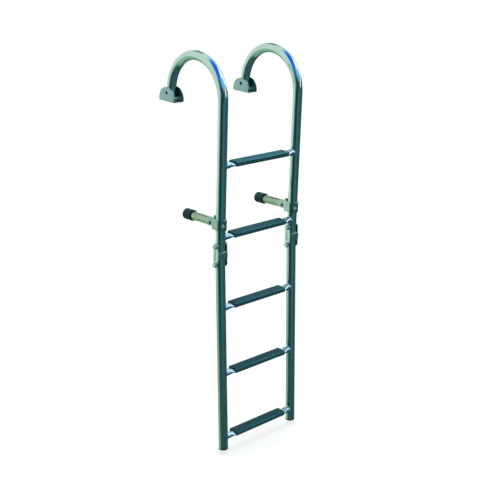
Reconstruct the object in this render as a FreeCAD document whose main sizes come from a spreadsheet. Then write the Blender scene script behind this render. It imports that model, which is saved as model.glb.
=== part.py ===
import FreeCAD, Part
import math
import os

import Sketcher
from FreeCAD import Placement, Rotation, Vector

# Folding boarding ladder. X runs along the rungs from the left upright to the right one, Y runs inboard
# from the uprights to the deck brackets, Z is up. The origin is on the underside of the left deck bracket.

os.makedirs("parts", exist_ok=True)
doc = FreeCAD.newDocument("ladder")

# Every size in millimetres, or degrees for an angle
dimensions = {
    # Uprights and hooks
    "tube_outer": 25.0,
    "tube_wall": 1.5,
    "upright_spacing": 250.0,
    "hook_radius": 100.0,
    "leg_drop": 5.0,
    "leg_stub": 12.0,
    "hinge_drop": 384.0,
    "lower_length": 519.0,
    # Folding hinges
    "hinge_pitch": 48.0,
    "hinge_stub": 18.0,
    "kink_angle": 3.0,
    "channel_plate": 2.5,
    "channel_play": 0.5,
    "channel_bend": 4.5,
    "ear_radius": 9.0,
    "stop_gap": 0.3,
    "web_setback": 15.0,
    "groove_width": 5.0,
    "groove_length": 27.0,
    "groove_depth": 0.8,
    # Cross pins
    "pin_outer": 8.0,
    "pin_play": 0.05,
    "pin_head": 13.0,
    "pin_head_height": 6.0,
    "pin_nut": 11.0,
    "pin_nut_height": 4.0,
    # Rungs
    "rung_outer": 19.0,
    "rung_wall": 1.2,
    "rung_flat_width": 26.0,
    "rung_flat_height": 10.0,
    "rung_neck": 2.0,
    "rung_taper": 20.0,
    "rung_pitch": 184.0,
    "tread_two_rise": 53.0,
    "tread_five_rise": 38.5,
    # Tread covers
    "tread_length": 178.0,
    "tread_depth": 30.0,
    "tread_plate": 2.5,
    "tread_height": 11.5,
    "tread_play": 0.2,
    "tread_tilt": 3.0,
    "tread_round": 3.2,
    "lip_round": 1.6,
    # Stand-offs
    "clamp_rise": 80.0,
    "clamp_height": 28.0,
    "clamp_plate": 2.5,
    "clamp_play": 0.1,
    "arm_past_bolt": 13.0,
    "arm_below": 7.0,
    "arm_step": 17.0,
    "arm_bevel": 2.0,
    "arm_round": 10.0,
    "arm_toe": 4.0,
    "standoff_outer": 22.0,
    "standoff_wall": 1.5,
    "standoff_pivot": 29.0,
    "standoff_tail": 6.5,
    "standoff_droop": 3.0,
    "standoff_reach": 137.0,
    "standoff_play": 0.3,
    "cap_outer": 28.5,
    "cap_length": 30.0,
    "cap_floor": 5.0,
    "cap_round": 3.0,
    "bolt_outer": 6.0,
    "bolt_head": 10.0,
    "bolt_head_height": 3.5,
    "socket_width": 5.0,
    "socket_depth": 2.4,
    "screw_outer": 5.0,
    "screw_head": 7.0,
    "screw_head_height": 3.0,
    "screw_turn": 20.0,
    # End plugs
    "plug_rim": 26.0,
    "plug_height": 4.0,
    "plug_round": 2.5,
    "plug_depth": 14.0,
    "plug_play": 0.1,
    # Deck brackets
    "pivot_height": 22.0,
    "pivot_outer": 10.0,
    "pivot_inner": 7.0,
    "bracket_length": 61.0,
    "bracket_height": 36.0,
    "bracket_plate": 3.0,
    "bracket_play": 0.5,
    "bracket_round": 28.0,
    "bracket_rim": 1.2,
    "bracket_bend": 1.5,
    "bracket_hole": 5.5,
    "bracket_hole_spacing": 42.0,
}
sizes = doc.addObject("Spreadsheet::Sheet", "sizes")
for row, (alias, value) in enumerate(dimensions.items(), 1):
    sizes.set("A%d" % row, alias)
    sizes.set("B%d" % row, str(value))
    sizes.setAlias("B%d" % row, alias)
doc.recompute()

# Places that several pieces share, written once as expressions on the sheet
HINGE_Z = "(sizes.pivot_height + sizes.leg_drop - sizes.hinge_drop)"
UPPER_PIN_Z = "(%s + sizes.hinge_pitch / 2)" % HINGE_Z
UPRIGHT_Y = "(-2 * sizes.hook_radius)"
LINK_ANGLE = "(sizes.kink_angle / 2)"
LOWER_PIN_Y = "(%s - sizes.hinge_pitch * sin(%s * 1deg))" % (UPRIGHT_Y, LINK_ANGLE)
LOWER_PIN_Z = "(%s - sizes.hinge_pitch * cos(%s * 1deg))" % (UPPER_PIN_Z, LINK_ANGLE)
STUB_Z = "(%s - sizes.hinge_stub)" % UPPER_PIN_Z
RUNG_DROP = "(sizes.tread_plate + sizes.tread_play + sizes.rung_flat_height / 2)"
PIN_BORE = "(sizes.pin_outer / 2 + sizes.pin_play)"
PIVOT_BORE = "(sizes.pivot_outer / 2 + sizes.pin_play)"
BOLT_BORE = "(sizes.bolt_outer / 2 + sizes.pin_play)"
ARM_END = "(sizes.standoff_pivot + sizes.arm_past_bolt)"

nodes = []
Constraint = Sketcher.Constraint
SIDES = (("left", "0"), ("right", "sizes.upright_spacing"))


def num(text):
    return float(sizes.evalExpression(text))


def turn(thing, prop, axis, angle):
    """Turns a placement clockwise about an axis that points at the viewer, by an expression on the sheet."""
    setattr(thing, prop, Placement(Vector(0, 0, 0), Rotation(axis, -1)))
    thing.setExpression(prop + ".Rotation.Angle", "-(%s) * 1deg" % angle)
    getattr(thing, prop).Rotation.Axis = axis


def put(thing, at, angle=None, axis=Vector(1, 0, 0)):
    """Places a piece by expressions on the sheet."""
    if angle is not None:
        turn(thing, "Placement", axis, angle)
    for axis, text in zip("xyz", at):
        if text != "0":
            thing.setExpression("Placement.Base.%s" % axis, text)


def keep(thing, label):
    thing.Label = label
    nodes.append(thing)
    return thing


def sketch(owner, role, name, lift=None):
    drawing = owner.newObject("Sketcher::SketchObject", name)
    plane = [f for f in owner.Origin.OriginFeatures if f.Role == role][0]
    drawing.AttachmentSupport = [(plane, "")]
    drawing.MapMode = "FlatFace"
    if lift is not None:
        drawing.setExpression("AttachmentOffset.Base.z", lift)
    return drawing


def fix_point(drawing, index, vertex, x_text, y_text):
    """Ties a vertex to the sketch's origin by two distances that follow the sheet."""
    for kind, text, axis in (("DistanceX", x_text, -2), ("DistanceY", y_text, -1)):
        value = num(text)
        if abs(value) < 1e-9:
            drawing.addConstraint(Constraint("PointOnObject", index, vertex, axis))
        elif value > 0:
            c = drawing.addConstraint(Constraint(kind, -1, 1, index, vertex, value))
            drawing.setExpression("Constraints[%d]" % c, text)
        else:
            c = drawing.addConstraint(Constraint(kind, index, vertex, -1, 1, -value))
            drawing.setExpression("Constraints[%d]" % c, "-(%s)" % text)


def circle(drawing, x_text, y_text, radius_text):
    centre = Vector(num(x_text), num(y_text), 0)
    index = drawing.addGeometry(Part.Circle(centre, Vector(0, 0, 1), num(radius_text)), False)
    c = drawing.addConstraint(Constraint("Radius", index, num(radius_text)))
    drawing.setExpression("Constraints[%d]" % c, radius_text)
    if centre.Length < 1e-9:
        drawing.addConstraint(Constraint("Coincident", index, 3, -1, 1))
    else:
        fix_point(drawing, index, 3, x_text, y_text)
    return index


def polygon(drawing, corners):
    """A closed outline of straight lines through corners given as pairs of expressions."""
    points = [Vector(num(x), num(y), 0) for x, y in corners]
    first = drawing.GeometryCount
    count = len(points)
    for i in range(count):
        drawing.addGeometry(Part.LineSegment(points[i], points[(i + 1) % count]), False)
    for i in range(count):
        drawing.addConstraint(Constraint("Coincident", first + i, 2, first + (i + 1) % count, 1))
    for i, (x, y) in enumerate(corners):
        fix_point(drawing, first + i, 1, x, y)


def rectangle(drawing, x_low, y_low, x_high, y_high):
    polygon(drawing, [(x_low, y_low), (x_high, y_low), (x_high, y_high), (x_low, y_high)])


def tube_profile(drawing, outer, wall):
    circle(drawing, "0", "0", "sizes.%s / 2" % outer)
    circle(drawing, "0", "0", "sizes.%s / 2 - sizes.%s" % (outer, wall))


def pad(owner, drawing, name, length, midplane=False, back=False):
    feature = owner.newObject("PartDesign::Pad", name)
    feature.Profile = drawing
    feature.setExpression("Length", length)
    feature.Midplane = midplane
    feature.Reversed = back
    return feature


def pocket(owner, drawing, name, length, midplane=True, back=False):
    feature = owner.newObject("PartDesign::Pocket", name)
    feature.Profile = drawing
    feature.setExpression("Length", length)
    feature.Midplane = midplane
    feature.Reversed = back
    return feature


def fillet(owner, name, base, radius, test):
    """Rounds the edges of the last feature that pass a test on their middle point and direction."""
    doc.recompute()
    picked = []
    for i, edge in enumerate(base.Shape.Edges):
        middle = edge.valueAt((edge.FirstParameter + edge.LastParameter) / 2)
        way = edge.tangentAt((edge.FirstParameter + edge.LastParameter) / 2)
        if test(middle, way, edge):
            picked.append("Edge%d" % (i + 1))
    feature = owner.newObject("PartDesign::Fillet", name)
    feature.Base = (base, picked)
    feature.setExpression("Radius", radius)
    return feature


def near(a, b):
    return abs(a - b) < 0.01


def upper_upright(side, across):
    """A tube that rises from its stub in the hinge, turns over the deck edge in a half circle and ends at its pivot."""
    b = doc.addObject("PartDesign::Body", "upper_upright_" + side)
    rise = "(sizes.hinge_drop - sizes.hinge_pitch / 2 + sizes.hinge_stub)"
    fall = "(sizes.leg_drop + sizes.leg_stub)"
    length, r, end = num(rise), num("sizes.hook_radius"), num(fall)
    path = sketch(b, "YZ_Plane", "path_upper_" + side)
    path.addGeometry(Part.LineSegment(Vector(0, 0, 0), Vector(0, length, 0)), False)
    arc = Part.Circle(Vector(r, length, 0), Vector(0, 0, 1), r)
    path.addGeometry(Part.ArcOfCircle(arc, 0, math.pi), False)
    path.addGeometry(Part.LineSegment(Vector(2 * r, length, 0), Vector(2 * r, length - end, 0)), False)
    path.addConstraint(Constraint("Coincident", 0, 1, -1, 1))
    path.addConstraint(Constraint("Vertical", 0))
    path.addConstraint(Constraint("Tangent", 0, 2, 1, 2))
    path.addConstraint(Constraint("Tangent", 1, 1, 2, 1))
    path.addConstraint(Constraint("Vertical", 2))
    for rule, text in (
        (Constraint("DistanceY", 0, 1, 0, 2, length), rise),
        (Constraint("Radius", 1, r), "sizes.hook_radius"),
        (Constraint("DistanceY", 2, 2, 2, 1, end), fall),
    ):
        c = path.addConstraint(rule)
        path.setExpression("Constraints[%d]" % c, text)
    profile = sketch(b, "XY_Plane", "section_upper_" + side)
    tube_profile(profile, "tube_outer", "tube_wall")
    pipe = b.newObject("PartDesign::AdditivePipe", "pipe_upper_" + side)
    pipe.Profile = profile
    pipe.Spine = (path, ["Edge1", "Edge2", "Edge3"])
    bores = sketch(b, "YZ_Plane", "bores_upper_" + side)
    circle(bores, "0", "sizes.hinge_stub", PIN_BORE)
    circle(bores, "2 * sizes.hook_radius", rise + " - sizes.leg_drop", PIVOT_BORE)
    pocket(b, bores, "cross_upper_" + side, "2 * sizes.tube_outer")
    put(b, (across, UPRIGHT_Y, STUB_Z))
    keep(b, "upper_upright_" + side)


def lower_upright(side, across):
    """A straight tube from its stub in the hinge to its plug, drawn from the lower hinge pin."""
    b = doc.addObject("PartDesign::Body", "lower_upright_" + side)
    profile = sketch(b, "XY_Plane", "section_lower_" + side, "sizes.hinge_stub")
    tube_profile(profile, "tube_outer", "tube_wall")
    pad(b, profile, "tube_lower_" + side, "sizes.hinge_stub + sizes.lower_length", back=True)
    bores = sketch(b, "YZ_Plane", "bores_lower_" + side)
    circle(bores, "0", "0", PIN_BORE)
    pocket(b, bores, "cross_lower_" + side, "2 * sizes.tube_outer")
    put(b, (across, LOWER_PIN_Y, LOWER_PIN_Z), "sizes.kink_angle")
    keep(b, "lower_upright_" + side)


def end_plug(side, across):
    """A plastic plug with a rounded foot that closes the lower tube."""
    b = doc.addObject("PartDesign::Body", "end_plug_" + side)
    rim = sketch(b, "XY_Plane", "rim_" + side, "-sizes.lower_length")
    circle(rim, "0", "0", "sizes.plug_rim / 2")
    foot = pad(b, rim, "foot_" + side, "sizes.plug_height", back=True)
    low = -num("sizes.lower_length + sizes.plug_height")
    fillet(b, "foot_round_" + side, foot, "sizes.plug_round", lambda p, d, e: near(p.z, low))
    stem = sketch(b, "XY_Plane", "stem_" + side, "-sizes.lower_length")
    circle(stem, "0", "0", "sizes.tube_outer / 2 - sizes.tube_wall - sizes.plug_play")
    pad(b, stem, "plug_" + side, "sizes.plug_depth")
    put(b, (across, LOWER_PIN_Y, LOWER_PIN_Z), "sizes.kink_angle")
    keep(b, "end_plug_" + side)


def oval(name, station, width, height):
    """One oval section of a rung, square to X."""
    ring = doc.addObject("Part::Ellipse", name)
    ring.Placement = Placement(Vector(0, 0, 0), Rotation(Vector(1, 1, 1), 120))
    ring.setExpression("MajorRadius", width)
    ring.setExpression("MinorRadius", height)
    ring.setExpression("Placement.Base.x", station)
    return ring


def rung_loft(name, inset):
    """A round tube pressed flat along its middle: round at both uprights, oval under the tread cover."""
    round_r = "(sizes.rung_outer / 2 - %s)" % inset
    wide = "(sizes.rung_flat_width / 2 - %s)" % inset
    high = "(sizes.rung_flat_height / 2 - %s)" % inset
    stations = [("0", 0.0)]
    for step in range(5):
        t = step / 4.0
        place = "sizes.tube_outer / 2 + sizes.rung_neck + sizes.rung_taper * %.2f" % t
        stations.append((place, t * t * (3 - 2 * t)))
    mirrored = [("sizes.upright_spacing - (%s)" % place, blend) for place, blend in reversed(stations)]
    rings = []
    for count, (place, blend) in enumerate(stations + mirrored):
        major = "%s * %.5f + %s * %.5f" % (round_r, 1 - blend, wide, blend)
        minor = "%s * %.5f + %s * %.5f" % (round_r, 1 - blend, high, blend)
        rings.append(oval("%s_ring_%02d" % (name, count), place, major, minor))
    loft = doc.addObject("Part::Loft", name)
    loft.Sections = rings
    loft.Solid = True
    loft.Ruled = True
    return loft


def make_rung():
    """The hollow rung, its ends coped to the round of both uprights."""
    hollow = doc.addObject("Part::Cut", "rung_hollow")
    hollow.Base = rung_loft("rung_outside", "0")
    hollow.Tool = rung_loft("rung_inside", "sizes.rung_wall")
    uprights = []
    for side, across in SIDES:
        cope = doc.addObject("Part::Cylinder", "cope_" + side)
        cope.setExpression("Radius", "sizes.tube_outer / 2")
        cope.setExpression("Height", "2 * sizes.rung_outer")
        turn(cope, "Placement", Vector(1, 0, 0), "sizes.tread_tilt")
        cope.setExpression("Placement.Base.y", "-sizes.rung_outer * sin(sizes.tread_tilt * 1deg)")
        cope.setExpression("Placement.Base.z", "-sizes.rung_outer * cos(sizes.tread_tilt * 1deg)")
        if across != "0":
            cope.setExpression("Placement.Base.x", across)
        uprights.append(cope)
    copes = doc.addObject("Part::MultiFuse", "copes")
    copes.Shapes = uprights
    coped = doc.addObject("Part::Cut", "rung_coped")
    coped.Base = hollow
    coped.Tool = copes
    doc.recompute()
    return coped


def from_lower_pin(drop):
    """World y and z, as expressions, of a point that lies some way down the lower section from its pin."""
    across = "%s - (%s) * sin(sizes.kink_angle * 1deg)" % (LOWER_PIN_Y, drop)
    up = "%s - (%s) * cos(sizes.kink_angle * 1deg)" % (LOWER_PIN_Z, drop)
    return across, up


def step_place(number, middle):
    """Place and tilt of a rung's middle line, which its tread shares."""
    if number <= 2:
        rise = "sizes.tread_two_rise + sizes.rung_pitch * %d" % (2 - number)
        return (middle, UPRIGHT_Y, "%s + %s - %s" % (HINGE_Z, rise, RUNG_DROP)), "-sizes.tread_tilt"
    drop = "sizes.lower_length - sizes.tread_five_rise - sizes.rung_pitch * %d + %s" % (5 - number, RUNG_DROP)
    across, up = from_lower_pin(drop)
    return (middle, across, up), "sizes.kink_angle - sizes.tread_tilt"


def rung(number, master):
    solids = [s for s in master.Shape.Solids if s.BoundBox.XLength > num("sizes.tread_length")]
    piece = doc.addObject("Part::Feature", "rung_%d" % number)
    piece.Shape = solids[0].copy()
    at, angle = step_place(number, "0")
    put(piece, at, angle)
    keep(piece, "rung_%d" % number)


def tread(number):
    """A cover that snaps over the flattened rung: flat top, rolled front and back edges, lips that hook under."""
    b = doc.addObject("PartDesign::Body", "tread_%d" % number)
    outline = sketch(b, "YZ_Plane", "outline_%d" % number)
    half = "sizes.tread_depth / 2"
    rectangle(outline, "-" + half, RUNG_DROP + " - sizes.tread_height", half, RUNG_DROP)
    cover = pad(b, outline, "cover_%d" % number, "sizes.tread_length", midplane=True)
    high, low = num(RUNG_DROP), num(RUNG_DROP + " - sizes.tread_height")
    top_round = fillet(b, "roll_%d" % number, cover, "sizes.tread_round",
                       lambda p, d, e: near(abs(d.x), 1) and near(p.z, high))
    fillet(b, "lip_%d" % number, top_round, "sizes.lip_round",
           lambda p, d, e: near(abs(d.x), 1) and near(p.z, low))
    hollow = sketch(b, "YZ_Plane", "hollow_%d" % number)
    wide = "sizes.rung_flat_width / 2 + sizes.tread_play"
    deep = "sizes.rung_flat_height / 2 + sizes.tread_play"
    a, e = num(wide), num(deep)
    hollow.addGeometry(Part.Ellipse(Vector(a, 0, 0), Vector(0, e, 0), Vector(0, 0, 0)), False)
    hollow.exposeInternalGeometry(0)
    hollow.addConstraint(Constraint("Coincident", 0, 3, -1, 1))
    hollow.addConstraint(Constraint("Horizontal", 1))
    for rule, text in (
        (Constraint("Distance", 1, 2 * a), "2 * (%s)" % wide),
        (Constraint("Distance", 2, 2 * e), "2 * (%s)" % deep),
    ):
        c = hollow.addConstraint(rule)
        hollow.setExpression("Constraints[%d]" % c, text)
    pocket(b, hollow, "seat_%d" % number, "2 * sizes.tread_length")
    at, angle = step_place(number, "sizes.upright_spacing / 2")
    put(b, at, angle)
    keep(b, "tread_%d" % number)


def bent_u(b, name, plane, lift, half, front, plate, back, length, bend, reverse=False):
    """A plate bent into a U: its sides stand at half from the middle, its web at front, its ends at back."""
    plan = sketch(b, plane, "plan_" + name, lift)
    wide = "%s + %s" % (half, plate)
    deep = "%s + %s" % (front, plate)
    polygon(plan, [
        ("-(%s)" % wide, back),
        ("-(%s)" % wide, "-(%s)" % deep),
        (wide, "-(%s)" % deep),
        (wide, back),
        (half, back),
        (half, "-(%s)" % front),
        ("-(%s)" % half, "-(%s)" % front),
        ("-(%s)" % half, back),
    ])
    return pad(b, plan, "plate_" + name, length, back=reverse)


def hinge_channel(side, across):
    """A plate bent into a U round the two tube stubs. Its ears carry both pins and its web is their stop."""
    b = doc.addObject("PartDesign::Body", "hinge_channel_" + side)
    half = "(sizes.tube_outer / 2 + sizes.channel_play)"
    front = "(sizes.tube_outer / 2 - sizes.hinge_stub * sin(%s * 1deg) + sizes.stop_gap)" % LINK_ANGLE
    tall = "(sizes.hinge_pitch + 2 * sizes.ear_radius)"
    plate = bent_u(b, "channel_" + side, "XY_Plane", "sizes.ear_radius", half, front, "sizes.channel_plate",
                   "sizes.ear_radius", tall, "sizes.channel_bend", reverse=True)
    h, f, t = num(half), num(front), num("sizes.channel_plate")
    upright = lambda p, d: near(abs(d.z), 1)
    outside = fillet(b, "bend_out_" + side, plate, "sizes.channel_bend + sizes.channel_plate",
                     lambda p, d, e: upright(p, d) and near(abs(p.x), h + t) and near(p.y, -f - t))
    inside = fillet(b, "bend_in_" + side, outside, "sizes.channel_bend",
                    lambda p, d, e: upright(p, d) and near(abs(p.x), h) and near(p.y, -f))
    side_view = sketch(b, "YZ_Plane", "notches_" + side)
    past = "-(%s + 3 * sizes.channel_plate)" % front
    rectangle(side_view, past, "-sizes.web_setback", "-sizes.ear_radius", "2 * sizes.ear_radius")
    rectangle(side_view, past, "-(sizes.hinge_pitch + 2 * sizes.ear_radius)", "-sizes.ear_radius",
              "-(sizes.hinge_pitch - sizes.web_setback)")
    notched = pocket(b, side_view, "web_ends_" + side, "2 * (%s + 3 * sizes.channel_plate)" % half)
    r, low = num("sizes.ear_radius"), -num("sizes.hinge_pitch + sizes.ear_radius")
    rounded = fillet(b, "ear_ends_" + side, notched, "sizes.ear_radius - 0.1",
                     lambda p, d, e: near(abs(d.x), 1) and near(abs(p.y), r) and (near(p.z, r) or near(p.z, low)))
    bores = sketch(b, "YZ_Plane", "bores_channel_" + side)
    circle(bores, "0", "0", PIN_BORE)
    circle(bores, "0", "-sizes.hinge_pitch", PIN_BORE)
    pocket(b, bores, "bores_channel_cut_" + side, "2 * (%s + 3 * sizes.channel_plate)" % half)
    long_top = "-(sizes.hinge_pitch - sizes.groove_length) / 2"
    long_foot = "-(sizes.hinge_pitch + sizes.groove_length) / 2"
    for hand, sign in (("near", "-"), ("far", "")):
        face = sketch(b, "YZ_Plane", "groove_%s_%s" % (hand, side), "%s(%s + sizes.channel_plate)" % (sign, half))
        rectangle(face, "-sizes.groove_width / 2", long_foot, "sizes.groove_width / 2", long_top)
        groove = pocket(b, face, "groove_cut_%s_%s" % (hand, side), "sizes.groove_depth", midplane=False,
                        back=hand == "near")
        edge, top, foot = num("sizes.groove_width / 2"), num(long_top), num(long_foot)
        fillet(b, "groove_ends_%s_%s" % (hand, side), groove, "sizes.groove_width / 2 - 0.1",
               lambda p, d, e: near(abs(d.x), 1) and near(abs(p.y), edge) and (near(p.z, top) or near(p.z, foot)))
    put(b, (across, UPRIGHT_Y, UPPER_PIN_Z), LINK_ANGLE)
    keep(b, "hinge_channel_" + side)


def cross_pin(name, half, at, angle, shaft="sizes.pin_outer", head="sizes.pin_head",
              head_height="sizes.pin_head_height", nut="sizes.pin_nut", nut_height="sizes.pin_nut_height",
              head_round="1.5", socket=False):
    """A headed pin along X through both ears, with its nut on the far side. half is where the ears' faces are."""
    b = doc.addObject("PartDesign::Body", name)
    mid = sketch(b, "YZ_Plane", "shaft_" + name)
    circle(mid, "0", "0", "%s / 2" % shaft)
    pad(b, mid, "shank_" + name, "2 * (%s)" % half, midplane=True)
    top = sketch(b, "YZ_Plane", "head_" + name, "-(%s)" % half)
    circle(top, "0", "0", "%s / 2" % head)
    cap = pad(b, top, "cap_" + name, head_height, back=True)
    out = -num("%s + %s" % (half, head_height))
    fillet(b, "cap_round_" + name, cap, head_round, lambda p, d, e: near(p.x, out))
    end = sketch(b, "YZ_Plane", "nut_" + name, half)
    circle(end, "0", "0", "%s / 2" % nut)
    pad(b, end, "nut_pad_" + name, nut_height)
    if socket:
        flat, corner = "sizes.socket_width / 2", "sizes.socket_width / sqrt(3)"
        hexagon = sketch(b, "YZ_Plane", "hexagon_" + name, "-(%s + %s)" % (half, head_height))
        polygon(hexagon, [
            (corner, "0"),
            (corner + " / 2", flat),
            ("-%s / 2" % corner, flat),
            ("-" + corner, "0"),
            ("-%s / 2" % corner, "-" + flat),
            (corner + " / 2", "-" + flat),
        ])
        pocket(b, hexagon, "socket_" + name, "sizes.socket_depth", midplane=False, back=True)
    put(b, at, angle)
    keep(b, name)


def clamp(side, across):
    """A strip bent round the upright, its two ends running inboard as arms that hold the stand-off's bolt."""
    b = doc.addObject("PartDesign::Body", "standoff_clamp_" + side)
    bore = "(sizes.tube_outer / 2 + sizes.clamp_play)"
    arm_in = "(sizes.standoff_outer / 2 + sizes.standoff_play)"
    arm_out = "(%s + sizes.clamp_plate)" % arm_in
    ring = sketch(b, "XY_Plane", "ring_" + side)
    circle(ring, "0", "0", "%s + sizes.clamp_plate" % bore)
    pad(b, ring, "collar_" + side, "sizes.clamp_height", midplane=True)
    arms = sketch(b, "YZ_Plane", "arms_" + side)
    polygon(arms, [
        ("0", "-sizes.clamp_height / 2"),
        ("sizes.arm_step", "-sizes.clamp_height / 2"),
        ("sizes.arm_step + sizes.arm_bevel", "-sizes.arm_below"),
        (ARM_END, "-sizes.arm_below"),
        (ARM_END, "sizes.clamp_height / 2"),
        ("0", "sizes.clamp_height / 2"),
    ])
    flanges = pad(b, arms, "flanges_" + side, "2 * %s" % arm_out, midplane=True)
    reach, rise, below = num(ARM_END), num("sizes.clamp_height / 2"), -num("sizes.arm_below")
    tops = fillet(b, "arm_tops_" + side, flanges, "sizes.arm_round",
                  lambda p, d, e: near(abs(d.x), 1) and near(p.y, reach) and near(p.z, rise))
    fillet(b, "arm_toes_" + side, tops, "sizes.arm_toe",
           lambda p, d, e: near(abs(d.x), 1) and near(p.y, reach) and near(p.z, below))
    hole = sketch(b, "XY_Plane", "bore_" + side)
    circle(hole, "0", "0", bore)
    pocket(b, hole, "upright_bore_" + side, "2 * sizes.clamp_height")
    slot = sketch(b, "XY_Plane", "slot_" + side)
    rectangle(slot, "-" + arm_in, "0", arm_in, "2 * " + ARM_END)
    pocket(b, slot, "mouth_" + side, "2 * sizes.clamp_height")
    bolt_hole = sketch(b, "YZ_Plane", "bolt_hole_" + side)
    circle(bolt_hole, "sizes.standoff_pivot", "0", BOLT_BORE)
    pocket(b, bolt_hole, "bolt_bore_" + side, "4 * %s" % arm_out)
    screw_hole = sketch(b, "XZ_Plane", "screw_hole_" + side)
    turn(screw_hole, "AttachmentOffset", Vector(0, 1, 0), "sizes.screw_turn")
    circle(screw_hole, "0", "0", "sizes.screw_outer / 2 + sizes.pin_play")
    pocket(b, screw_hole, "screw_bore_" + side, "sizes.tube_outer", midplane=False, back=True)
    put(b, (across, UPRIGHT_Y, "%s + sizes.clamp_rise" % HINGE_Z))
    keep(b, "standoff_clamp_" + side)


def clamp_screw(side, across):
    """The screw at the front of the clamp that presses on the upright."""
    b = doc.addObject("PartDesign::Body", "clamp_screw_" + side)
    tip = sketch(b, "XZ_Plane", "tip_" + side, "sizes.tube_outer / 2")
    circle(tip, "0", "0", "sizes.screw_outer / 2")
    pad(b, tip, "shank_screw_" + side, "sizes.clamp_play + sizes.clamp_plate")
    seat = "sizes.tube_outer / 2 + sizes.clamp_play + sizes.clamp_plate"
    top = sketch(b, "XZ_Plane", "top_" + side, seat)
    circle(top, "0", "0", "sizes.screw_head / 2")
    pad(b, top, "head_screw_" + side, "sizes.screw_head_height")
    put(b, (across, UPRIGHT_Y, "%s + sizes.clamp_rise" % HINGE_Z), "sizes.screw_turn", Vector(0, 0, 1))
    keep(b, "clamp_screw_" + side)


def standoff(side, across):
    """A tube that turns on the clamp's bolt, and the rubber cap on its end that rests on the hull."""
    at = (across, "%s + sizes.standoff_pivot" % UPRIGHT_Y, "%s + sizes.clamp_rise" % HINGE_Z)
    b = doc.addObject("PartDesign::Body", "standoff_tube_" + side)
    profile = sketch(b, "XZ_Plane", "section_standoff_" + side, "sizes.standoff_tail")
    tube_profile(profile, "standoff_outer", "standoff_wall")
    span = "sizes.standoff_reach - sizes.standoff_pivot - sizes.cap_floor"
    pad(b, profile, "tube_standoff_" + side, "sizes.standoff_tail + %s" % span, back=True)
    bores = sketch(b, "YZ_Plane", "bore_standoff_" + side)
    circle(bores, "0", "0", BOLT_BORE)
    pocket(b, bores, "cross_standoff_" + side, "2 * sizes.standoff_outer")
    put(b, at, "sizes.standoff_droop")
    keep(b, "standoff_tube_" + side)
    c = doc.addObject("PartDesign::Body", "standoff_cap_" + side)
    far = "-(sizes.standoff_reach - sizes.standoff_pivot)"
    face = sketch(c, "XZ_Plane", "face_" + side, far)
    circle(face, "0", "0", "sizes.cap_outer / 2")
    block = pad(c, face, "cap_" + side, "sizes.cap_length")
    end = num("sizes.standoff_reach - sizes.standoff_pivot")
    fillet(c, "cap_edge_" + side, block, "sizes.cap_round", lambda p, d, e: near(p.y, end))
    mouth = sketch(c, "XZ_Plane", "mouth_" + side, "-(%s)" % span)
    circle(mouth, "0", "0", "sizes.standoff_outer / 2")
    pocket(c, mouth, "hollow_" + side, "sizes.cap_length", midplane=False, back=True)
    put(c, at, "sizes.standoff_droop")
    keep(c, "standoff_cap_" + side)


def deck_bracket(side, across):
    """A plate bent into an upright U with rounded ears. The hook's end turns between them on a cross pin."""
    b = doc.addObject("PartDesign::Body", "deck_bracket_" + side)
    plan = sketch(b, "XZ_Plane", "front_bracket_" + side)
    half = "(sizes.tube_outer / 2 + sizes.bracket_play)"
    wide = "(%s + sizes.bracket_plate)" % half
    polygon(plan, [
        ("-" + wide, "0"),
        (wide, "0"),
        (wide, "sizes.bracket_height"),
        (half, "sizes.bracket_height"),
        (half, "sizes.bracket_plate"),
        ("-" + half, "sizes.bracket_plate"),
        ("-" + half, "sizes.bracket_height"),
        ("-" + wide, "sizes.bracket_height"),
    ])
    plate = pad(b, plan, "plate_bracket_" + side, "sizes.bracket_length", midplane=True)
    h, w, t = num(half), num(wide), num("sizes.bracket_plate")
    tall, long = num("sizes.bracket_height"), num("sizes.bracket_length / 2")
    bend = fillet(b, "bend_bracket_" + side, plate, "sizes.bracket_bend",
                  lambda p, d, e: near(abs(d.y), 1) and near(abs(p.x), h) and near(p.z, t))
    edge = fillet(b, "bend_under_" + side, bend, "sizes.bracket_bend",
                  lambda p, d, e: near(abs(d.y), 1) and near(abs(p.x), w) and near(p.z, 0))
    ears = fillet(b, "ears_" + side, edge, "sizes.bracket_round",
                  lambda p, d, e: near(abs(d.x), 1) and near(abs(p.y), long) and near(p.z, tall))
    fillet(b, "rims_" + side, ears, "sizes.bracket_rim",
           lambda p, d, e: near(abs(p.x), w) and near(d.x, 0) and p.z > num("2 * sizes.bracket_bend"))
    bores = sketch(b, "YZ_Plane", "bores_bracket_" + side)
    circle(bores, "0", "sizes.pivot_height", PIVOT_BORE)
    pocket(b, bores, "cross_bracket_" + side, "4 * %s" % wide)
    holes = sketch(b, "XY_Plane", "holes_bracket_" + side)
    circle(holes, "0", "sizes.bracket_hole_spacing / 2", "sizes.bracket_hole / 2")
    circle(holes, "0", "-sizes.bracket_hole_spacing / 2", "sizes.bracket_hole / 2")
    pocket(b, holes, "screw_holes_" + side, "4 * sizes.bracket_plate")
    put(b, (across, "0", "0"))
    keep(b, "deck_bracket_" + side)


def bracket_pin(side, across):
    """A tubular pin through the bracket's ears, its ends flush with their outer faces."""
    b = doc.addObject("PartDesign::Body", "bracket_pin_" + side)
    ring = sketch(b, "YZ_Plane", "section_pin_" + side)
    circle(ring, "0", "0", "sizes.pivot_outer / 2")
    circle(ring, "0", "0", "sizes.pivot_inner / 2")
    pad(b, ring, "pin_" + side, "sizes.tube_outer + 2 * (sizes.bracket_play + sizes.bracket_plate)", midplane=True)
    put(b, (across, "0", "sizes.pivot_height"))
    keep(b, "bracket_pin_" + side)


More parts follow.
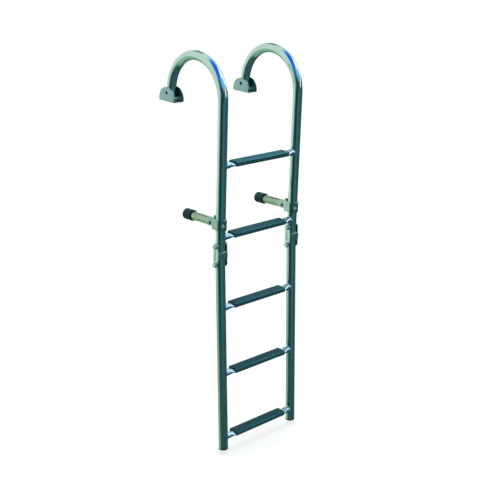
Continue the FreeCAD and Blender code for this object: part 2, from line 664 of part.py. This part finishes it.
rung_master = make_rung()
channel_face = "(sizes.tube_outer / 2 + sizes.channel_play + sizes.channel_plate)"
arm_face = "(sizes.standoff_outer / 2 + sizes.standoff_play + sizes.clamp_plate)"
for side, across in SIDES:
    deck_bracket(side, across)
    bracket_pin(side, across)
    upper_upright(side, across)
    lower_upright(side, across)
    end_plug(side, across)
    hinge_channel(side, across)
    cross_pin("hinge_pin_upper_" + side, channel_face, (across, UPRIGHT_Y, UPPER_PIN_Z), LINK_ANGLE)
    cross_pin("hinge_pin_lower_" + side, channel_face, (across, LOWER_PIN_Y, LOWER_PIN_Z), LINK_ANGLE)
    clamp(side, across)
    clamp_screw(side, across)
    standoff(side, across)
    bolt_at = (across, "%s + sizes.standoff_pivot" % UPRIGHT_Y, "%s + sizes.clamp_rise" % HINGE_Z)
    cross_pin("standoff_bolt_" + side, arm_face, bolt_at, None, shaft="sizes.bolt_outer", head="sizes.bolt_head",
              head_height="sizes.bolt_head_height", nut="sizes.bolt_head", nut_height="sizes.bolt_head_height",
              head_round="1", socket=True)
for number in range(1, 6):
    rung(number, rung_master)
    tread(number)
doc.recompute()

for thing in doc.Objects:
    if "Invalid" in thing.State or "Error" in thing.State:
        raise RuntimeError("%s did not build: %s" % (thing.Name, thing.State))
for thing in nodes:
    shape = thing.Shape
    if shape.isNull() or not shape.isValid() or len(shape.Solids) != 1:
        raise RuntimeError("%s has no valid single solid" % thing.Label)
volume = 0.0
for thing in nodes:
    thing.Shape.exportStep("parts/%s.step" % thing.Label)
    volume += thing.Shape.Volume
print("%d pieces, %.0f cubic millimetres" % (len(nodes), volume))
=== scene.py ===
import math
import bpy
import bmesh
from mathutils import Matrix, Vector


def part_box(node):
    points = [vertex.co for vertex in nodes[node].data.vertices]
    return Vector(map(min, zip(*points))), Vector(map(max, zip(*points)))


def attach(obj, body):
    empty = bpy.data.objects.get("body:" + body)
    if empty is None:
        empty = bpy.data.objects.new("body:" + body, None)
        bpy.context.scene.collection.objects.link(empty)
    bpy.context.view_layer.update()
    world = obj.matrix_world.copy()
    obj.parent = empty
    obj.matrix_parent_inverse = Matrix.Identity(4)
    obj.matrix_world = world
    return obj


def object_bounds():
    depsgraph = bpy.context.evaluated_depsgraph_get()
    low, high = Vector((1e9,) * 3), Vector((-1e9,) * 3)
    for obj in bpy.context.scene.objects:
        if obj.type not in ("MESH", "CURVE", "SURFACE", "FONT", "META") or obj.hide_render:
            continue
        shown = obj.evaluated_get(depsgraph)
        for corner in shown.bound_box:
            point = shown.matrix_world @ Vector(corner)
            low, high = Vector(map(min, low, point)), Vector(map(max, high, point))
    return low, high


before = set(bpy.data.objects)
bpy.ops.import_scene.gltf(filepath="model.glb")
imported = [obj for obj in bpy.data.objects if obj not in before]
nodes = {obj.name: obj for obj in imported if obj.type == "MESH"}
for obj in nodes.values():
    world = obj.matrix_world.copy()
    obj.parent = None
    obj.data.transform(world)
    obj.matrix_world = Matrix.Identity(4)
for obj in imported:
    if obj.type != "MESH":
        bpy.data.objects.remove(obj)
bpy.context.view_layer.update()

sides = ("left", "right")
print("frame loaded:", len(nodes), "nodes")


# Camera

camera = {
    "azimuth": -42.74,         # degrees, 0 looks along +Y
    "elevation": 19.75,
    "roll": 1.75,
    "distance": 2.5602,        # metres from the target
    "target": (0.1478, -0.150, -0.3914),
    "focalPixels": 962.4,      # for a picture 500 pixels wide
    "pictureWidth": 500,
    "sensorWidth": 36.0,
    "clipEnd": 50,
}


def placeCamera(c):
    a, e, r = (math.radians(c[k]) for k in ("azimuth", "elevation", "roll"))
    back = Vector((math.sin(a) * math.cos(e), -math.cos(a) * math.cos(e), math.sin(e)))
    right = Vector((math.cos(a), math.sin(a), 0.0))
    up = back.cross(right)
    turnedRight = math.cos(r) * right + math.sin(r) * up
    turnedUp = math.cos(r) * up - math.sin(r) * right
    data = bpy.data.cameras.new("camera")
    data.sensor_width = c["sensorWidth"]
    data.lens = c["focalPixels"] / c["pictureWidth"] * c["sensorWidth"]
    data.clip_end = c["clipEnd"]
    obj = bpy.data.objects.new("camera", data)
    bpy.context.scene.collection.objects.link(obj)
    turn = Matrix((turnedRight, turnedUp, back)).transposed()
    obj.matrix_world = Matrix.Translation(Vector(c["target"]) + back * c["distance"]) @ turn.to_4x4()
    bpy.context.scene.camera = obj


placeCamera(camera)
print("camera placed")


# Node helpers

def newTree(owner):
    owner.use_nodes = True
    tree = owner.node_tree
    tree.nodes.clear()
    return tree


def link(tree, value, socket):
    if isinstance(value, (int, float)):
        socket.default_value = value
    elif isinstance(value, tuple):
        socket.default_value = (*value, 1.0) if socket.type == "RGBA" else value
    else:
        tree.links.new(value, socket)


def addNode(tree, kind, **settings):
    node = tree.nodes.new(kind)
    for key, value in settings.items():
        setattr(node, key, value)
    return node


def mathNode(tree, operation, first, second=None, clamp=False):
    node = addNode(tree, "ShaderNodeMath", operation=operation, use_clamp=clamp)
    for socket, value in zip(node.inputs, (first, second)):
        if value is not None:
            link(tree, value, socket)
    return node.outputs[0]


def stepNode(tree, value, start, end):
    node = addNode(tree, "ShaderNodeMapRange", interpolation_type="SMOOTHSTEP")
    for socket, given in ((node.inputs[0], value), (node.inputs[1], start), (node.inputs[2], end)):
        link(tree, given, socket)
    return node.outputs[0]


def rampNode(tree, factor, stops):
    node = addNode(tree, "ShaderNodeValToRGB")
    elements = node.color_ramp.elements
    while len(elements) < len(stops):
        elements.new(0.5)
    for element, (place, colour) in zip(elements, stops):
        element.position = place
        element.color = (*colour, 1.0)
    link(tree, factor, node.inputs[0])
    return node.outputs[0]


def mixColour(tree, factor, first, second):
    node = addNode(tree, "ShaderNodeMix", data_type="RGBA")
    for socket, value in ((node.inputs[0], factor), (node.inputs[6], first), (node.inputs[7], second)):
        link(tree, value, socket)
    return node.outputs[2]


def groupSockets(group, inputs, outputs):
    for name, kind, default in inputs:
        socket = group.interface.new_socket(name=name, in_out="INPUT", socket_type=kind)
        if default is not None:
            socket.default_value = default
    for name, kind in outputs:
        group.interface.new_socket(name=name, in_out="OUTPUT", socket_type=kind)
    return group.nodes.new("NodeGroupInput"), group.nodes.new("NodeGroupOutput")


def placeGroup(tree, group, values):
    node = addNode(tree, "ShaderNodeGroup", node_tree=group)
    for name, value in values.items():
        link(tree, value, node.inputs[name])
    return node


# Shared effects

polish = {
    "lineDetail": 3.0,
    "lineShare": 0.04,             # roughness that the fine lines add
    "hazeScale": 18.0,
    "hazeDetail": 4.0,
    "hazeFrom": 0.45,              # noise values where the haze starts and where it is full
    "hazeFull": 0.75,
}
moulding = {"grainDetail": 5.0, "cloudDetail": 3.0}
relief = {
    "depth": 0.0002,               # metres, distance of every bump
    "edgeSamples": 6,
}


def makePolishGroup():
    g = bpy.data.node_groups.new("polishMarks", "ShaderNodeTree")
    inp, out = groupSockets(g, [
        ("Vector", "NodeSocketVector", None),
        ("Stretch", "NodeSocketVector", (1.0, 1.0, 0.02)),
        ("Line Scale", "NodeSocketFloat", 900.0),
        ("Base Roughness", "NodeSocketFloat", 0.1),
        ("Haze", "NodeSocketFloat", 0.08),
    ], [("Roughness", "NodeSocketFloat"), ("Height", "NodeSocketFloat"), ("Haze Mask", "NodeSocketFloat")])
    stretched = addNode(g, "ShaderNodeVectorMath", operation="MULTIPLY")
    g.links.new(inp.outputs["Vector"], stretched.inputs[0])
    g.links.new(inp.outputs["Stretch"], stretched.inputs[1])
    lines = addNode(g, "ShaderNodeTexNoise")
    lines.inputs["Detail"].default_value = polish["lineDetail"]
    g.links.new(stretched.outputs[0], lines.inputs["Vector"])
    g.links.new(inp.outputs["Line Scale"], lines.inputs["Scale"])
    haze = addNode(g, "ShaderNodeTexNoise")
    haze.inputs["Scale"].default_value = polish["hazeScale"]
    haze.inputs["Detail"].default_value = polish["hazeDetail"]
    g.links.new(inp.outputs["Vector"], haze.inputs["Vector"])
    ramp = addNode(g, "ShaderNodeMapRange")
    ramp.inputs["From Min"].default_value = polish["hazeFrom"]
    ramp.inputs["From Max"].default_value = polish["hazeFull"]
    g.links.new(haze.outputs[0], ramp.inputs["Value"])
    hazed = mathNode(g, "MULTIPLY", ramp.outputs[0], inp.outputs["Haze"])
    lined = mathNode(g, "MULTIPLY", lines.outputs[0], polish["lineShare"])
    rough = mathNode(g, "ADD", inp.outputs["Base Roughness"], hazed)
    rough = mathNode(g, "ADD", rough, lined, clamp=True)
    g.links.new(rough, out.inputs["Roughness"])
    g.links.new(lines.outputs[0], out.inputs["Height"])
    g.links.new(ramp.outputs[0], out.inputs["Haze Mask"])
    return g


polishMarks = makePolishGroup()


def steelMaterial(name, colour, spec):
    material = bpy.data.materials.new(name)
    tree = newTree(material)
    coords = addNode(tree, "ShaderNodeTexCoord")
    marks = placeGroup(tree, polishMarks, {
        "Vector": coords.outputs["Object"],
        "Stretch": spec["stretch"],
        "Line Scale": spec["lineScale"],
        "Base Roughness": spec["roughness"],
        "Haze": spec["haze"],
    })
    shade = mixColour(tree, marks.outputs["Haze Mask"], colour, spec["hazeColour"])
    bump = addNode(tree, "ShaderNodeBump")
    bump.inputs["Strength"].default_value = spec["bump"]
    bump.inputs["Distance"].default_value = relief["depth"]
    tree.links.new(marks.outputs["Height"], bump.inputs["Height"])
    if "edge" in spec:             # sheet metal's edges are rounded in the shading alone
        rounded = addNode(tree, "ShaderNodeBevel", samples=relief["edgeSamples"])
        rounded.inputs["Radius"].default_value = spec["edge"]
        tree.links.new(rounded.outputs[0], bump.inputs["Normal"])
    shader = addNode(tree, "ShaderNodeBsdfPrincipled")
    shader.inputs["Metallic"].default_value = spec.get("metallic", 1.0)
    tree.links.new(shade, shader.inputs["Base Color"])
    tree.links.new(marks.outputs["Roughness"], shader.inputs["Roughness"])
    tree.links.new(bump.outputs[0], shader.inputs["Normal"])
    output = addNode(tree, "ShaderNodeOutputMaterial")
    tree.links.new(shader.outputs[0], output.inputs["Surface"])
    return material


def mouldedMaterial(name, colour, paler, spec):
    material = bpy.data.materials.new(name)
    tree = newTree(material)
    coords = addNode(tree, "ShaderNodeTexCoord")
    grain = addNode(tree, "ShaderNodeTexNoise")
    grain.inputs["Scale"].default_value = spec["grainScale"]
    grain.inputs["Detail"].default_value = moulding["grainDetail"]
    tree.links.new(coords.outputs["Object"], grain.inputs["Vector"])
    cloud = addNode(tree, "ShaderNodeTexNoise")
    cloud.inputs["Scale"].default_value = spec["cloudScale"]
    cloud.inputs["Detail"].default_value = moulding["cloudDetail"]
    tree.links.new(coords.outputs["Object"], cloud.inputs["Vector"])
    shade = mixColour(tree, cloud.outputs[0], colour, paler)
    rough = mathNode(tree, "MULTIPLY", grain.outputs[0], spec["roughSpread"])
    rough = mathNode(tree, "ADD", rough, spec["roughness"], clamp=True)
    bump = addNode(tree, "ShaderNodeBump")
    bump.inputs["Strength"].default_value = spec["bump"]
    bump.inputs["Distance"].default_value = relief["depth"]
    tree.links.new(grain.outputs[0], bump.inputs["Height"])
    shader = addNode(tree, "ShaderNodeBsdfPrincipled")
    shader.inputs["Specular IOR Level"].default_value = spec["specular"]
    tree.links.new(shade, shader.inputs["Base Color"])
    tree.links.new(rough, shader.inputs["Roughness"])
    tree.links.new(bump.outputs[0], shader.inputs["Normal"])
    output = addNode(tree, "ShaderNodeOutputMaterial")
    tree.links.new(shader.outputs[0], output.inputs["Surface"])
    return material


tubeSteel = steelMaterial("polishedTube", (0.468, 0.670, 0.585), {
    "stretch": (1.0, 1.0, 0.02), "lineScale": 900.0, "roughness": 0.08, "haze": 0.05,
    "hazeColour": (0.421, 0.614, 0.533), "bump": 0.04})
crossSteel = steelMaterial("polishedRung", (0.484, 0.688, 0.619), {
    "stretch": (0.02, 1.0, 1.0), "lineScale": 900.0, "roughness": 0.06, "haze": 0.05,
    "hazeColour": (0.437, 0.632, 0.568), "bump": 0.04})
plateSteel = steelMaterial("satinPlate", (0.242, 0.428, 0.387), {
    "stretch": (1.0, 0.04, 1.0), "lineScale": 1400.0, "roughness": 0.22, "haze": 0.10,
    "hazeColour": (0.172, 0.326, 0.310), "bump": 0.2, "edge": 0.0006})
propSteel = steelMaterial("brushedProp", (0.312, 0.465, 0.318), {
    "stretch": (1.0, 0.02, 1.0), "lineScale": 700.0, "roughness": 0.14, "haze": 0.14,
    "hazeColour": (0.203, 0.326, 0.206), "bump": 0.3})
clampSteel = steelMaterial("pressedClamp", (0.390, 0.577, 0.482), {
    "stretch": (1.0, 0.3, 0.3), "lineScale": 900.0, "roughness": 0.14, "haze": 0.12,
    "hazeColour": (0.265, 0.419, 0.327), "bump": 0.1, "edge": 0.0010})
channelSteel = steelMaterial("bentChannel", (0.484, 0.698, 0.559), {
    "stretch": (1.0, 1.0, 0.05), "lineScale": 900.0, "roughness": 0.16, "haze": 0.12,
    "hazeColour": (0.390, 0.595, 0.456), "bump": 0.1, "edge": 0.0010})
pinSteel = steelMaterial("turnedPin", (0.421, 0.595, 0.525), {
    "stretch": (1.0, 0.1, 0.1), "lineScale": 1600.0, "roughness": 0.16, "haze": 0.08,
    "hazeColour": (0.359, 0.521, 0.464), "bump": 0.1})
# The bracket pin's dark colour is painted shade, standing in for the darkness inside the bracket's pin
# hole.
pinHoleShadeSteel = steelMaterial("pinHolePaintedShade", (0.125, 0.214, 0.198), {
    "stretch": (1.0, 0.1, 0.1), "lineScale": 1600.0, "roughness": 0.30, "haze": 0.10,
    "hazeColour": (0.078, 0.140, 0.129), "bump": 0.1})
# The screw head's pale base with little metal in it is partly its pale metal and partly a painted
# highlight, in place of the glint a domed head would mirror.
screwHighlightSteel = steelMaterial("screwHeadPaintedHighlight", (0.562, 0.874, 0.808), {
    "stretch": (1.0, 1.0, 1.0), "lineScale": 900.0, "roughness": 0.40, "haze": 0.10,
    "hazeColour": (0.484, 0.781, 0.740), "bump": 0.1, "metallic": 0.3})
weldSteel = steelMaterial("weldBead", (0.468, 0.707, 0.688), {
    "stretch": (1.0, 1.0, 1.0), "lineScale": 500.0, "roughness": 0.30, "haze": 0.12,
    "hazeColour": (0.390, 0.614, 0.602), "bump": 0.3, "metallic": 0.9})
treadPlastic = mouldedMaterial("treadCover", (0.023, 0.114, 0.130), (0.029, 0.138, 0.158), {
    "grainScale": 1400.0, "cloudScale": 14.0, "roughSpread": 0.10, "roughness": 0.55,
    "bump": 0.05, "specular": 0.10})
# The nosing bead's pale blue is a painted highlight: a light line standing in for the shine along the
# tread's rounded front edge.
nosingHighlightPlastic = mouldedMaterial("paintedHighlightNosing", (0.045, 0.300, 0.400), (0.055, 0.330, 0.430), {
    "grainScale": 1400.0, "cloudScale": 14.0, "roughSpread": 0.10, "roughness": 0.40,
    "bump": 0.05, "specular": 0.2})
capRubber = mouldedMaterial("capRubber", (0.009, 0.050, 0.050), (0.014, 0.066, 0.066), {
    "grainScale": 900.0, "cloudScale": 20.0, "roughSpread": 0.2, "roughness": 0.42,
    "bump": 0.2, "specular": 0.16})
plugPlastic = mouldedMaterial("plugPlastic", (0.010, 0.034, 0.038), (0.016, 0.046, 0.050), {
    "grainScale": 900.0, "cloudScale": 20.0, "roughSpread": 0.2, "roughness": 0.40,
    "bump": 0.2, "specular": 0.2})

finishes = {
    "upper_upright": tubeSteel, "lower_upright": tubeSteel, "standoff_tube": propSteel,
    "rung": crossSteel, "tread": treadPlastic, "deck_bracket": plateSteel, "bracket_pin": pinHoleShadeSteel,
    "hinge_channel": channelSteel, "hinge_pin": pinSteel, "standoff_clamp": clampSteel,
    "clamp_screw": screwHighlightSteel, "standoff_bolt": pinSteel, "standoff_cap": capRubber,
    "end_plug": plugPlastic,
}
for name, obj in nodes.items():
    finish = next(finishes[stem] for stem in finishes if name.startswith(stem))
    obj.data.materials.clear()
    obj.data.materials.append(finish)
print("finishes given")


# Placing of pieces that go with the rungs

rungSizes = {
    "count": 5,
    "onUpper": 2,                  # so many of them belong to the upper section
    "endRadius": 0.0095,
    "uprightRadius": 0.0125,
    "upperTilt": 3.0,              # degrees, treads of the upper section dip outboard
    "treadTop": 0.0077,            # tread's upper face above the rung's middle
}
rungNumbers = range(1, rungSizes["count"] + 1)


def rungFrame(number):
    low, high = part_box("rung_%d" % number)
    place = Matrix.Translation((low + high) / 2)
    if number <= rungSizes["onUpper"]:
        place = place @ Matrix.Rotation(math.radians(rungSizes["upperTilt"]), 4, "X")
    return place


def rungBody(number):
    return "upper_section" if number <= rungSizes["onUpper"] else "lower_section"


def finishPiece(name, bm, material, body):
    mesh = bpy.data.meshes.new(name)
    bm.to_mesh(mesh)
    bm.free()
    obj = bpy.data.objects.new(name, mesh)
    bpy.context.scene.collection.objects.link(obj)
    mesh.materials.append(material)
    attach(obj, body)


# Weld beads round both ends of each rung

weld = {
    "radius": 0.0012,
    "lift": 0.0001,                # the bead's middle lies this far outside the rung's surface
    "ripple": 0.00015,
    "ripples": 34,
    "wobble": 0.6,                 # makes the spacing of the ripples uneven
    "wobbles": 3,
    "lean": 3.0,                   # degrees that the rungs are turned against the uprights
    "around": 136,
    "section": 10,
    "merge": 1e-6,
}


def weldBead(number, side):
    place = rungFrame(number)
    low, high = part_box("upper_upright_" + side)
    acrossX = (low.x + high.x) / 2
    ringRadius = rungSizes["endRadius"] + weld["lift"]
    bm = bmesh.new()
    made = bmesh.ops.create_circle(bm, segments=weld["section"], radius=weld["radius"],
                                   matrix=Matrix.Translation((0, ringRadius, 0)))
    bmesh.ops.spin(bm, geom=made["verts"] + bm.edges[:], cent=(0, 0, 0), axis=(1, 0, 0), dvec=(0, 0, 0),
                   angle=math.tau, steps=weld["around"], use_merge=True, use_duplicate=False)
    sign = 1 if side == "left" else -1
    centre = place.translation
    lean = math.radians(weld["lean"])
    for vert in bm.verts:
        turn = math.atan2(vert.co.z, vert.co.y)
        uneven = weld["wobble"] * math.sin(weld["wobbles"] * turn)
        swell = 1 + weld["ripple"] / weld["radius"] * math.sin(turn * weld["ripples"] + uneven)
        outer = Vector((0, math.cos(turn), math.sin(turn))) * ringRadius
        offset = vert.co - outer
        fromAxis = outer.y * math.cos(lean) - outer.z * math.sin(lean)
        reach = math.sqrt(rungSizes["uprightRadius"] ** 2 - fromAxis ** 2)
        spot = outer + offset * swell
        spot.x += acrossX - centre.x + sign * reach
        vert.co = spot
    bmesh.ops.transform(bm, matrix=place, verts=bm.verts)
    bmesh.ops.remove_doubles(bm, verts=bm.verts, dist=weld["merge"])
    bmesh.ops.recalc_face_normals(bm, faces=bm.faces)
    for face in bm.faces:
        face.smooth = True
    finishPiece("weld_%d_%s" % (number, side), bm, weldSteel, rungBody(number))


for number in rungNumbers:
    for side in sides:
        weldBead(number, side)
print("welds laid")


# Fine ribs along the tread covers, and the bead near their front edge, whose pale colour is a painted
# highlight

ribs = {
    "count": 13,
    "pitch": 0.0016,
    "width": 0.0008,
    "height": 0.00005,
    "rounding": 0.8,               # share of the height that the bevel takes
    "first": -0.0078,
    "margin": 0.002,
}
nosing = {"place": -0.0136, "drop": 0.0015, "radius": 0.0013, "margin": 0.001, "sections": 16}


def treadStrip(bm, length, y):
    level = rungSizes["treadTop"]
    size = Matrix.Diagonal((length, ribs["width"], 2 * ribs["height"], 1))
    made = bmesh.ops.create_cube(bm, size=1.0, matrix=Matrix.Translation((0, y, level)) @ size)
    top = [e for e in bm.edges if all(v in made["verts"] and v.co.z > level for v in e.verts)]
    bmesh.ops.bevel(bm, geom=top, offset=ribs["height"] * ribs["rounding"], affect="EDGES",
                    segments=2, profile=0.5, material=-1)


def treadRibs(number):
    low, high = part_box("tread_%d" % number)
    length = high.x - low.x - 2 * ribs["margin"]
    bm = bmesh.new()
    for i in range(ribs["count"]):
        treadStrip(bm, length, ribs["first"] + i * ribs["pitch"])
    bmesh.ops.transform(bm, matrix=rungFrame(number), verts=bm.verts)
    finishPiece("tread_ribs_%d" % number, bm, treadPlastic, rungBody(number))


def paintedHighlightNosing(number):
    low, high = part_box("tread_%d" % number)
    length = high.x - low.x - 2 * nosing["margin"]
    spot = Matrix.Translation((0, nosing["place"], rungSizes["treadTop"] - nosing["drop"]))
    bm = bmesh.new()
    bmesh.ops.create_cone(bm, cap_ends=True, segments=nosing["sections"], radius1=nosing["radius"],
                          radius2=nosing["radius"], depth=length,
                          matrix=rungFrame(number) @ spot @ Matrix.Rotation(math.pi / 2, 4, "Y"))
    for face in bm.faces:
        face.smooth = len(face.verts) == 4
    finishPiece("tread_nosing_%d" % number, bm, nosingHighlightPlastic, rungBody(number))


for number in rungNumbers:
    treadRibs(number)
    paintedHighlightNosing(number)
print("ribs made")


# Studio

studio = {
    "floorDrop": 0.012,            # gap under the lowest point, metres
    "floorReach": 90.0,
    "floorColour": (0.80, 0.80, 0.80),
    "floorLift": (0.66, 0.80),     # seen by the camera alone, near the ladder and far from it
    "floorNear": (0.6, 2.2),       # metres over which the lift grows
    "skyLight": (0.34, 0.35, 0.35),    # lights whatever isn't mirrored
    "lampPlace": (0.10, -0.12, 0.70),
    "lampAim": (0.12, -0.15, -0.50),
    "lampSize": 0.7,
    "lampPower": 6.2,
}

# What polished metal mirrors. Only "open" is the white background that the camera sees, and
# elsewhere coloured cards stand before it. Their colours and places come from readings of the
# photograph's reflections, rounded and adjusted. Above 1 a card outshines the background.
# Azimuth in degrees, 0 is -Y and 90 is +X. Elevation in degrees.
cards = {
    "open": (1.0, 1.0, 1.0),       # no card stands here
    "soft": (0.385, 0.538, 0.488),
    "dark": (0.017, 0.056, 0.079),
    "teal": (0.079, 0.210, 0.256),
    "deepTeal": (0.041, 0.129, 0.163),
    "night": (0.071, 0.172, 0.267),
    "blue": (0.015, 0.177, 1.279),
    "zenith": (0.205, 0.409, 0.698),
    "lightBlue": (0.308, 0.774, 1.628),
    "paleBlue": (0.282, 0.602, 1.337),
    "deepBlue": (0.018, 0.065, 0.512),
    "white": (2.051, 1.720, 1.860),
    "green": (0.462, 0.645, 0.488),
    "moss": (0.045, 0.113, 0.122),
    "shade": (0.064, 0.108, 0.105),
    # each ring goes once round, and the uprights at rest mirror the two lower ones
    "lowest": [(-180, "green"), (-108, "green"), (-78, "moss"), (80, "moss"), (144, "moss"),
               (160, "green"), (180, "green")],
    "low": [(-180, "open"), (-102, "open"), (-88, "soft"), (-66, "dark"), (-30, "dark"), (4, "teal"),
            (40, "deepTeal"), (90, "deepTeal"), (142, "dark"), (158, "open"), (180, "open")],
    "middle": [(-180, "open"), (-88, "open"), (-66, "night"), (-36, "night"), (-12, "lightBlue"),
               (22, "lightBlue"), (42, "white"), (86, "white"), (98, "lightBlue"), (112, "lightBlue"),
               (124, "open"), (180, "open")],
    "lowestRise": (-25.0, -17.0),  # elevations between which lowest turns into low
    "middleRise": (12.0, 29.0),
    # azimuths, each with the elevation above which blue starts
    "blueFrom": [(-180, 88), (-100, 66), (-80, 52), (-63, 41), (-42, 36), (-15, 46), (12, 56), (60, 55),
                 (82, 50), (104, 64), (125, 88)],
    "blueSoft": 5.0,
    "zenithRise": (76.0, 88.0),
    "lowTurn": 20.0,               # degrees that the two lower rings are turned by
    "lowTurnFrom": (-10.0, -1.0),  # in full below the first elevation, not at all above the second
    # azimuths, then elevations, where a strip starts, where it is full from and to, and where it ends
    "strips": [
        ((136, 152, 178, 180), (30, 38, 50, 62), "shade"),
        ((22, 28, 50, 58), (15, 20, 36, 44), "paleBlue"),
        ((22, 28, 44, 52), (0, 5, 15, 20), "white"),
        ((58, 70, 91, 98), (5, 12, 26, 34), "white"),
        ((104, 116, 180, 181), (-6, 2, 28, 34), "open"),
        ((36, 44, 68, 78), (-54, -48, -35, -31), "deepBlue"),
    ],
}


def bandMask(tree, value, outerLow, innerLow, innerHigh, outerHigh):
    rising = stepNode(tree, value, outerLow, innerLow)
    falling = stepNode(tree, value, outerHigh, innerHigh)
    return mathNode(tree, "MULTIPLY", rising, falling)


def buildWorld():
    world = bpy.data.worlds.new("studio")
    bpy.context.scene.world = world
    tree = newTree(world)
    coords = addNode(tree, "ShaderNodeTexCoord")
    way = addNode(tree, "ShaderNodeSeparateXYZ")
    tree.links.new(coords.outputs["Generated"], way.inputs[0])
    flipped = mathNode(tree, "MULTIPLY", way.outputs["Y"], -1.0)
    azimuth = mathNode(tree, "ARCTAN2", way.outputs["X"], flipped)
    azimuth = mathNode(tree, "MULTIPLY", azimuth, 180 / math.pi)
    elevation = mathNode(tree, "ARCSINE", way.outputs["Z"])
    elevation = mathNode(tree, "MULTIPLY", elevation, 180 / math.pi)
    share = mathNode(tree, "ADD", mathNode(tree, "DIVIDE", azimuth, 360), 0.5)

    def ring(key, place):
        return rampNode(tree, place, [((a + 180) / 360, cards[colour]) for a, colour in cards[key]])

    turned = mathNode(tree, "SUBTRACT", 1.0, stepNode(tree, elevation, *cards["lowTurnFrom"]))
    turned = mathNode(tree, "ADD", share, mathNode(tree, "MULTIPLY", turned, cards["lowTurn"] / 360))
    turned = mathNode(tree, "FRACT", turned)
    rise = stepNode(tree, elevation, *cards["lowestRise"])
    mirrored = mixColour(tree, rise, ring("lowest", turned), ring("low", turned))
    rise = stepNode(tree, elevation, *cards["middleRise"])
    mirrored = mixColour(tree, rise, mirrored, ring("middle", share))

    # a ramp holds 0 to 1, so the edge is kept as a share of 90 degrees
    edge = rampNode(tree, share, [((a + 180) / 360, (e / 90,) * 3) for a, e in cards["blueFrom"]])
    above = mathNode(tree, "SUBTRACT", elevation, mathNode(tree, "MULTIPLY", edge, 90.0))
    soft = cards["blueSoft"]
    mirrored = mixColour(tree, stepNode(tree, above, -soft, soft), mirrored, cards["blue"])
    rise = stepNode(tree, elevation, *cards["zenithRise"])
    mirrored = mixColour(tree, rise, mirrored, cards["zenith"])

    for across, upward, colour in cards["strips"]:
        inside = bandMask(tree, azimuth, *across)
        inside = mathNode(tree, "MULTIPLY", inside, bandMask(tree, elevation, *upward))
        mirrored = mixColour(tree, inside, mirrored, cards[colour])

    path = addNode(tree, "ShaderNodeLightPath")
    glossy = path.outputs["Is Glossy Ray"]
    through = path.outputs["Is Transmission Ray"]
    seen = mathNode(tree, "ADD", glossy, through, clamp=True)
    shown = mixColour(tree, seen, studio["skyLight"], mirrored)
    shown = mixColour(tree, path.outputs["Is Camera Ray"], shown, (1.0, 1.0, 1.0))
    background = addNode(tree, "ShaderNodeBackground")
    tree.links.new(shown, background.inputs["Color"])
    output = addNode(tree, "ShaderNodeOutputWorld")
    tree.links.new(background.outputs[0], output.inputs["Surface"])


def buildFloor():
    low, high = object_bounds()
    bm = bmesh.new()
    bmesh.ops.create_grid(bm, x_segments=1, y_segments=1, size=studio["floorReach"])
    mesh = bpy.data.meshes.new("floor")
    bm.to_mesh(mesh)
    bm.free()
    obj = bpy.data.objects.new("floor", mesh)
    obj.location = ((low.x + high.x) / 2, (low.y + high.y) / 2, low.z - studio["floorDrop"])
    bpy.context.scene.collection.objects.link(obj)
    material = bpy.data.materials.new("paleFloor")
    tree = newTree(material)
    path = addNode(tree, "ShaderNodeLightPath")
    pale = addNode(tree, "ShaderNodeBsdfDiffuse")
    pale.inputs["Color"].default_value = (*studio["floorColour"], 1)
    glow = addNode(tree, "ShaderNodeEmission")
    both = addNode(tree, "ShaderNodeAddShader")
    coords = addNode(tree, "ShaderNodeTexCoord")
    distance = addNode(tree, "ShaderNodeVectorMath", operation="LENGTH")
    tree.links.new(coords.outputs["Object"], distance.inputs[0])
    near, far = studio["floorLift"]
    lift = stepNode(tree, distance.outputs["Value"], *studio["floorNear"])
    lift = mathNode(tree, "ADD", mathNode(tree, "MULTIPLY", lift, far - near), near)
    lift = mathNode(tree, "MULTIPLY", path.outputs["Is Camera Ray"], lift)
    tree.links.new(lift, glow.inputs["Strength"])
    tree.links.new(pale.outputs[0], both.inputs[0])
    tree.links.new(glow.outputs[0], both.inputs[1])
    output = addNode(tree, "ShaderNodeOutputMaterial")
    tree.links.new(both.outputs[0], output.inputs["Surface"])
    mesh.materials.append(material)
    obj.visible_glossy = False


def addLamp():
    data = bpy.data.lights.new("topLamp", "AREA")
    data.shape = "DISK"
    data.size = studio["lampSize"]
    data.energy = studio["lampPower"]
    obj = bpy.data.objects.new("topLamp", data)
    bpy.context.scene.collection.objects.link(obj)
    obj.location = studio["lampPlace"]
    aim = Vector(studio["lampAim"]) - Vector(studio["lampPlace"])
    obj.rotation_euler = aim.to_track_quat("-Z", "Y").to_euler()
    obj.visible_glossy = False


buildWorld()
buildFloor()
addLamp()
bpy.context.scene.view_settings.view_transform = "Standard"
print("studio lit")
